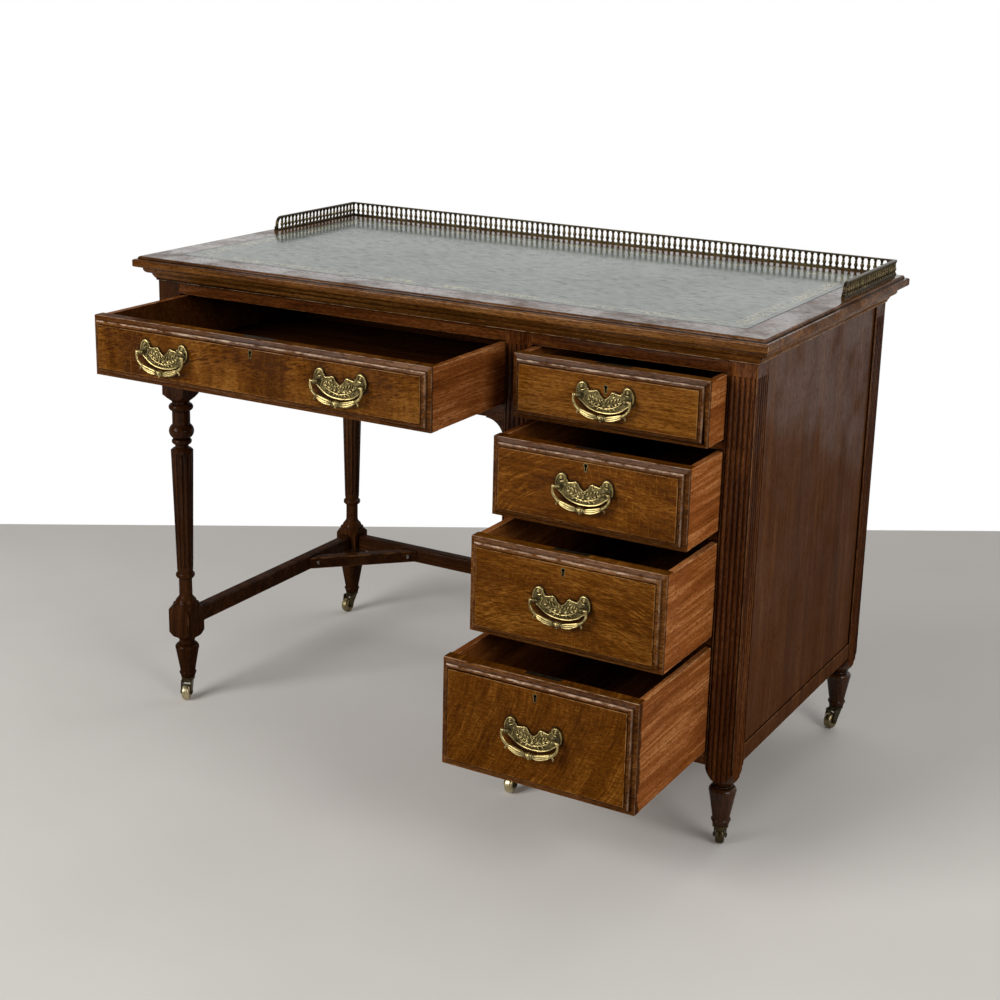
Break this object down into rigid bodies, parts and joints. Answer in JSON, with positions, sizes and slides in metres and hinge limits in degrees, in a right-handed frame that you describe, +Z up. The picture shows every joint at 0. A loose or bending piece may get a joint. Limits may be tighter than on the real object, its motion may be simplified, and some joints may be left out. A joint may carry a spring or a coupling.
{
  "type": "writing desk",
  "caption": "Single-pedestal oak writing desk with an inset leather top, brass gallery, turned fluted legs, drawers with swinging brass handles, and brass castors.",
  "frame": {"origin": "on the floor, under the middle of the desk's box with the drawers drawn out as modelled", "axes": "+X along the front towards the pedestal side, +Y from the front to the back, +Z up"},
  "size_m": [1.067, 0.8173, 0.7815],
  "materials": {
    "carcass_oak": "satin polish",
    "dark_oak": "gloss polish",
    "front_oak": "satin polish, figured",
    "drawer_oak": "waxed",
    "inner_oak": "bare",
    "leather": "glazed, gilt tooled",
    "brass": "aged cast",
    "gallery_brass": "aged polish",
    "castor_brass": "aged cast",
    "steel": "plain"
  },
  "bodies": {
    "carcass": {"top_board": "carcass_oak", "writing_leather": "leather", "under_top_moulding": "carcass_oak", "gallery_base_rail": "gallery_brass", "gallery_top_rail": "gallery_brass", "gallery_balusters": "gallery_brass", "front_left_leg": "dark_oak", "back_left_leg": "dark_oak", "pedestal_posts": "carcass_oak", "pedestal_right_side": "carcass_oak", "pedestal_left_side": "carcass_oak", "pedestal_back_panel": "inner_oak", "frieze_left_rail": "carcass_oak", "frieze_back_rail": "carcass_oak", "front_rails": "carcass_oak", "kneehole_brackets": "carcass_oak", "drawer_runners": "inner_oak", "drawer_stops": "inner_oak", "stretchers": "dark_oak", "stretcher_screws": "steel", "top_screws": "steel", "castor_sockets": "castor_brass"},
    "long_drawer": {"long_drawer_front": "front_oak", "long_drawer_moulding": "dark_oak", "long_drawer_box": "drawer_oak", "long_drawer_fittings": "brass"},
    "long_drawer_left_bail": {"long_drawer_left_bail": "brass"},
    "long_drawer_right_bail": {"long_drawer_right_bail": "brass"},
    "top_drawer": {"top_drawer_front": "front_oak", "top_drawer_moulding": "dark_oak", "top_drawer_box": "drawer_oak", "top_drawer_fittings": "brass"},
    "top_drawer_bail": {"top_drawer_bail": "brass"},
    "second_drawer": {"second_drawer_front": "front_oak", "second_drawer_moulding": "dark_oak", "second_drawer_box": "drawer_oak", "second_drawer_fittings": "brass"},
    "second_drawer_bail": {"second_drawer_bail": "brass"},
    "third_drawer": {"third_drawer_front": "front_oak", "third_drawer_moulding": "dark_oak", "third_drawer_box": "drawer_oak", "third_drawer_fittings": "brass"},
    "third_drawer_bail": {"third_drawer_bail": "brass"},
    "bottom_drawer": {"bottom_drawer_front": "front_oak", "bottom_drawer_moulding": "dark_oak", "bottom_drawer_box": "drawer_oak", "bottom_drawer_fittings": "brass"},
    "bottom_drawer_bail": {"bottom_drawer_bail": "brass"},
    "castor_fork_front_left": {"castor_fork_front_left": "castor_brass"},
    "castor_wheel_front_left": {"castor_wheel_front_left": "castor_brass"},
    "castor_fork_back_left": {"castor_fork_back_left": "castor_brass"},
    "castor_wheel_back_left": {"castor_wheel_back_left": "castor_brass"},
    "castor_fork_pedestal_front_left": {"castor_fork_pedestal_front_left": "castor_brass"},
    "castor_wheel_pedestal_front_left": {"castor_wheel_pedestal_front_left": "castor_brass"},
    "castor_fork_pedestal_back_left": {"castor_fork_pedestal_back_left": "castor_brass"},
    "castor_wheel_pedestal_back_left": {"castor_wheel_pedestal_back_left": "castor_brass"},
    "castor_fork_front_right": {"castor_fork_front_right": "castor_brass"},
    "castor_wheel_front_right": {"castor_wheel_front_right": "castor_brass"},
    "castor_fork_back_right": {"castor_fork_back_right": "castor_brass"},
    "castor_wheel_back_right": {"castor_wheel_back_right": "castor_brass"}
  },
  "joints": [
    {"name": "long_drawer_slide", "type": "slide", "parent": "carcass", "child": "long_drawer", "axis": [0, -1, 0], "range_m": [-0.2048, 0.1752]},
    {"name": "long_drawer_left_bail_swing", "type": "hinge", "parent": "long_drawer", "child": "long_drawer_left_bail", "pos_m": [-0.3245, -0.37215, 0.6603], "axis": [-1, 0, 0], "range_deg": [-4, 100]},
    {"name": "long_drawer_right_bail_swing", "type": "hinge", "parent": "long_drawer", "child": "long_drawer_right_bail", "pos_m": [-0.0145, -0.37215, 0.6603], "axis": [-1, 0, 0], "range_deg": [-4, 100]},
    {"name": "top_drawer_slide", "type": "slide", "parent": "carcass", "child": "top_drawer", "axis": [0, -1, 0], "range_m": [-0.0623, 0.3177]},
    {"name": "top_drawer_bail_swing", "type": "hinge", "parent": "top_drawer", "child": "top_drawer_bail", "pos_m": [0.318, -0.22965, 0.6595], "axis": [-1, 0, 0], "range_deg": [-4, 100]},
    {"name": "second_drawer_slide", "type": "slide", "parent": "carcass", "child": "second_drawer", "axis": [0, -1, 0], "range_m": [-0.1138, 0.2662]},
    {"name": "second_drawer_bail_swing", "type": "hinge", "parent": "second_drawer", "child": "second_drawer_bail", "pos_m": [0.318, -0.28115, 0.5435], "axis": [-1, 0, 0], "range_deg": [-4, 100]},
    {"name": "third_drawer_slide", "type": "slide", "parent": "carcass", "child": "third_drawer", "axis": [0, -1, 0], "range_m": [-0.1688, 0.2112]},
    {"name": "third_drawer_bail_swing", "type": "hinge", "parent": "third_drawer", "child": "third_drawer_bail", "pos_m": [0.318, -0.33615, 0.3985], "axis": [-1, 0, 0], "range_deg": [-4, 100]},
    {"name": "bottom_drawer_slide", "type": "slide", "parent": "carcass", "child": "bottom_drawer", "axis": [0, -1, 0], "range_m": [-0.2373, 0.1427]},
    {"name": "bottom_drawer_bail_swing", "type": "hinge", "parent": "bottom_drawer", "child": "bottom_drawer_bail", "pos_m": [0.318, -0.40465, 0.23575], "axis": [-1, 0, 0], "range_deg": [-4, 100]},
    {"name": "castor_fork_front_left_swivel", "type": "hinge", "parent": "carcass", "child": "castor_fork_front_left", "pos_m": [-0.4875, -0.13435, 0.0335], "axis": [0, 0, 1], "continuous": true},
    {"name": "castor_wheel_front_left_turn", "type": "hinge", "parent": "castor_fork_front_left", "child": "castor_wheel_front_left", "pos_m": [-0.48172, -0.14599, 0.0135], "axis": [0.8957, 0.4446, 0], "continuous": true},
    {"name": "castor_fork_back_left_swivel", "type": "hinge", "parent": "carcass", "child": "castor_fork_back_left", "pos_m": [-0.4875, 0.35465, 0.0335], "axis": [0, 0, 1], "continuous": true},
    {"name": "castor_wheel_back_left_turn", "type": "hinge", "parent": "castor_fork_back_left", "child": "castor_wheel_back_left", "pos_m": [-0.48841, 0.34168, 0.0135], "axis": [0.9976, -0.0698, 0], "continuous": true},
    {"name": "castor_fork_pedestal_front_left_swivel", "type": "hinge", "parent": "carcass", "child": "castor_fork_pedestal_front_left", "pos_m": [0.1485, -0.13435, 0.0335], "axis": [0, 0, 1], "continuous": true},
    {"name": "castor_wheel_pedestal_front_left_turn", "type": "hinge", "parent": "castor_fork_pedestal_front_left", "child": "castor_wheel_pedestal_front_left", "pos_m": [0.14986, -0.14728, 0.0135], "axis": [0.9945, 0.1045, 0], "continuous": true},
    {"name": "castor_fork_pedestal_back_left_swivel", "type": "hinge", "parent": "carcass", "child": "castor_fork_pedestal_back_left", "pos_m": [0.1485, 0.35465, 0.0335], "axis": [0, 0, 1], "continuous": true},
    {"name": "castor_wheel_pedestal_back_left_turn", "type": "hinge", "parent": "castor_fork_pedestal_back_left", "child": "castor_wheel_pedestal_back_left", "pos_m": [0.1357, 0.35691, 0.0135], "axis": [-0.1736, -0.9848, 0], "continuous": true},
    {"name": "castor_fork_front_right_swivel", "type": "hinge", "parent": "carcass", "child": "castor_fork_front_right", "pos_m": [0.4875, -0.13435, 0.0335], "axis": [0, 0, 1], "continuous": true},
    {"name": "castor_wheel_front_right_turn", "type": "hinge", "parent": "castor_fork_front_right", "child": "castor_wheel_front_right", "pos_m": [0.48284, -0.12221, 0.0135], "axis": [-0.9336, -0.3584, 0], "continuous": true},
    {"name": "castor_fork_back_right_swivel", "type": "hinge", "parent": "carcass", "child": "castor_fork_back_right", "pos_m": [0.4875, 0.35465, 0.0335], "axis": [0, 0, 1], "continuous": true},
    {"name": "castor_wheel_back_right_turn", "type": "hinge", "parent": "castor_fork_back_right", "child": "castor_wheel_back_right", "pos_m": [0.48381, 0.34219, 0.0135], "axis": [0.9588, -0.284, 0], "continuous": true}
  ]
}
